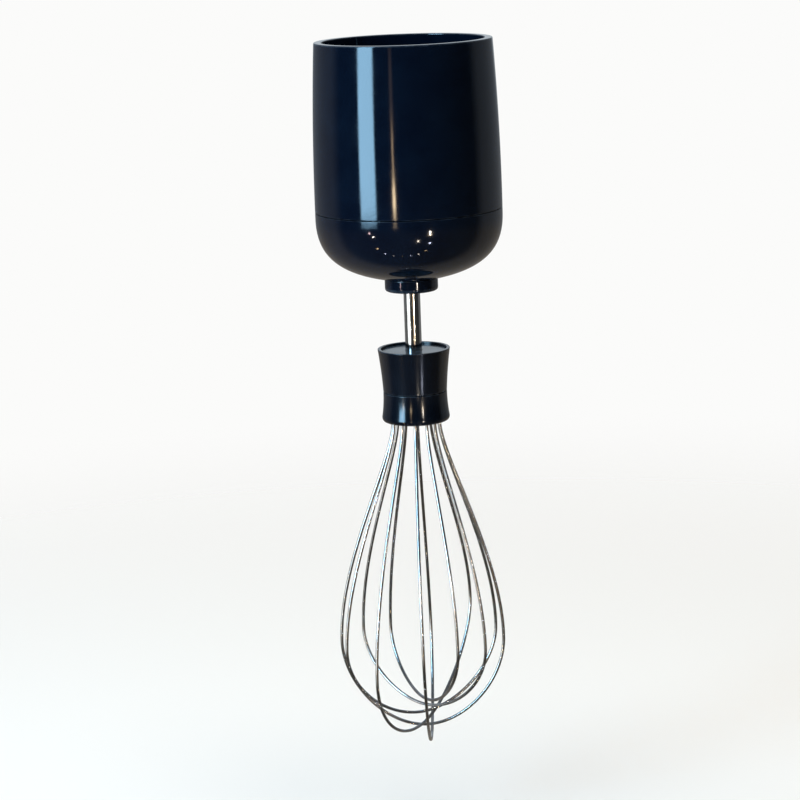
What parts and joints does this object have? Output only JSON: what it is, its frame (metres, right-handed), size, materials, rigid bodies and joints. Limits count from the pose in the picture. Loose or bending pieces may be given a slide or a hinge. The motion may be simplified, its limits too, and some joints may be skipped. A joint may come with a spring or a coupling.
{
  "type": "hand blender whisk attachment",
  "caption": "Black drive cup with a planetary gearbox inside, a short steel shaft, a waisted collar and a balloon whisk of nested steel wire loops, for a hand blender's motor body.",
  "frame": {"origin": "centre of the drive cup's rim, on the spin axis", "axes": "+Z out of the cup's mouth along the spin axis, towards the motor body, so the whisk hangs along -Z; +X through one of the two bayonet lugs"},
  "size_m": [0.0646, 0.0646, 0.2499],
  "materials": {
    "cup_plastic": "polished navy-black moulding",
    "collar_plastic": "gloss black moulding",
    "disc_plastic": "satin black moulding",
    "case_plastic": "satin black moulding",
    "gear_acetal": "natural acetal",
    "coupling_nylon": "grey nylon",
    "bearing_bronze": "sintered bronze",
    "spring_steel": "ground steel",
    "screw_zinc": "zinc plated",
    "seal_rubber": "moulded nitrile",
    "polished_steel": "polished stainless",
    "wire_steel": "bright drawn stainless wire"
  },
  "bodies": {
    "gear_housing": {"drive_housing": "cup_plastic", "lower_cap": "cup_plastic", "outlet_collar": "cup_plastic", "gearbox_cover": "case_plastic", "ring_gear": "gear_acetal", "bearing_plate": "case_plastic", "case_screw_1": "screw_zinc", "case_screw_2": "screw_zinc", "case_screw_3": "screw_zinc", "input_bushing": "bearing_bronze", "output_bushing": "bearing_bronze", "shaft_seal": "seal_rubber"},
    "input_drive": {"drive_coupling": "coupling_nylon", "coupling_slinger": "spring_steel", "input_shaft": "spring_steel", "sun_gear": "spring_steel"},
    "output_carrier": {"planet_carrier": "coupling_nylon", "planet_pin_1": "spring_steel", "planet_pin_2": "spring_steel", "planet_pin_3": "spring_steel", "thrust_washer": "spring_steel", "retaining_ring": "spring_steel", "chuck_spring": "spring_steel"},
    "planet_1": {"planet_gear_1": "gear_acetal"},
    "planet_2": {"planet_gear_2": "gear_acetal"},
    "planet_3": {"planet_gear_3": "gear_acetal"},
    "whisk": {"whisk_shaft": "polished_steel", "collar_upper": "collar_plastic", "collar_disc": "disc_plastic", "collar_lower": "collar_plastic", "wire_core": "collar_plastic", "wire_clamp": "case_plastic", "shaft_keeper": "spring_steel", "wire_loop_1": "wire_steel", "wire_loop_2": "wire_steel", "wire_loop_3": "wire_steel", "wire_loop_4": "wire_steel", "wire_loop_5": "wire_steel", "wire_loop_6": "wire_steel"}
  },
  "joints": [
    {"name": "output_spin", "type": "hinge", "parent": "gear_housing", "child": "output_carrier", "pos_m": [0, 0, -0.0488], "axis": [0, 0, 1], "continuous": true},
    {"name": "input_spin", "type": "hinge", "parent": "gear_housing", "child": "input_drive", "pos_m": [0, 0, -0.034], "axis": [0, 0, 1], "continuous": true},
    {"name": "planet_1_spin", "type": "hinge", "parent": "output_carrier", "child": "planet_1", "pos_m": [0.01307, 0, -0.0424], "axis": [0, 0, 1], "continuous": true},
    {"name": "planet_2_spin", "type": "hinge", "parent": "output_carrier", "child": "planet_2", "pos_m": [-0.00654, 0.01132, -0.0424], "axis": [0, 0, 1], "continuous": true},
    {"name": "planet_3_spin", "type": "hinge", "parent": "output_carrier", "child": "planet_3", "pos_m": [-0.00654, -0.01132, -0.0424], "axis": [0, 0, 1], "continuous": true},
    {"name": "whisk_pull", "type": "slide", "parent": "output_carrier", "child": "whisk", "axis": [0, 0, -1], "range_m": [0, 0.03]}
  ],
  "couplings": [
    {"joint": "input_spin", "follows": "output_spin", "ratio": 6},
    {"joint": "planet_1_spin", "follows": "output_spin", "ratio": -2.5},
    {"joint": "planet_2_spin", "follows": "output_spin", "ratio": -2.5},
    {"joint": "planet_3_spin", "follows": "output_spin", "ratio": -2.5}
  ]
}
